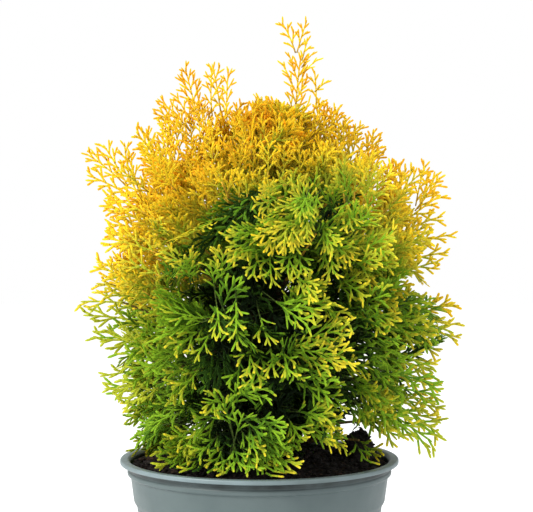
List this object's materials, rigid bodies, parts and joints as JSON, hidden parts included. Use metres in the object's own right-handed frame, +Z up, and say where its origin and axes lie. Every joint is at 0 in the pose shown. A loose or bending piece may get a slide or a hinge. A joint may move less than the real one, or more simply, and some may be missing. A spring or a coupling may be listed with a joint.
{
  "type": "potted arborvitae",
  "caption": "Young golden arborvitae with flat scale-leaf sprays on a slim upright trunk, planted in a round tapered nursery pot filled with soil.",
  "frame": {"origin": "centre of the pot's flat underside", "axes": "+Z up the plant, -Y to the front, which the picture shows, and +X to its right"},
  "size_m": [0.2266, 0.221, 0.4001],
  "materials": {
    "pot": "grey injection-moulded plastic with a faint satin sheen",
    "soil": "damp dark potting mix of peat and bark",
    "bark": "thin fibrous red-brown bark, greener on the young shoots",
    "foliage_green": "soft satin scale leaves",
    "foliage_lime": "soft satin scale leaves",
    "foliage_amber": "soft satin scale leaves"
  },
  "bodies": {
    "root": {"pot": "pot", "soil": "soil", "trunk": "bark", "bough_skirt_1": "bark", "bough_skirt_2": "bark", "bough_skirt_3": "bark", "bough_skirt_4": "bark", "bough_skirt_5": "bark", "bough_skirt_6": "bark", "bough_low_1": "bark", "bough_low_2": "bark", "bough_low_3": "bark", "bough_low_4": "bark", "bough_low_5": "bark", "bough_middle_1": "bark", "bough_middle_2": "bark", "bough_middle_3": "bark", "bough_middle_4": "bark", "bough_middle_5": "bark", "bough_upper_1": "bark", "bough_upper_2": "bark", "bough_upper_3": "bark", "bough_upper_4": "bark", "bough_upper_5": "bark", "foliage_skirt_1": "foliage_green", "foliage_skirt_2": "foliage_green", "foliage_skirt_3": "foliage_green", "foliage_skirt_4": "foliage_green", "foliage_skirt_5": "foliage_green", "foliage_skirt_6": "foliage_green", "foliage_low_1": "foliage_green", "foliage_low_2": "foliage_green", "foliage_low_3": "foliage_green", "foliage_low_4": "foliage_green", "foliage_low_5": "foliage_green", "foliage_middle_1": "foliage_lime", "foliage_middle_2": "foliage_lime", "foliage_middle_3": "foliage_lime", "foliage_middle_4": "foliage_lime", "foliage_middle_5": "foliage_lime", "foliage_upper_1": "foliage_lime", "foliage_upper_2": "foliage_lime", "foliage_upper_3": "foliage_lime", "foliage_upper_4": "foliage_lime", "foliage_upper_5": "foliage_lime", "foliage_high_1": "foliage_amber", "foliage_high_2": "foliage_amber", "foliage_high_3": "foliage_amber", "foliage_high_4": "foliage_amber", "foliage_high_5": "foliage_amber", "foliage_top_1": "foliage_amber", "foliage_top_2": "foliage_amber", "foliage_top_3": "foliage_amber", "foliage_top_4": "foliage_amber", "foliage_leader": "foliage_amber"}
  },
  "joints": []
}
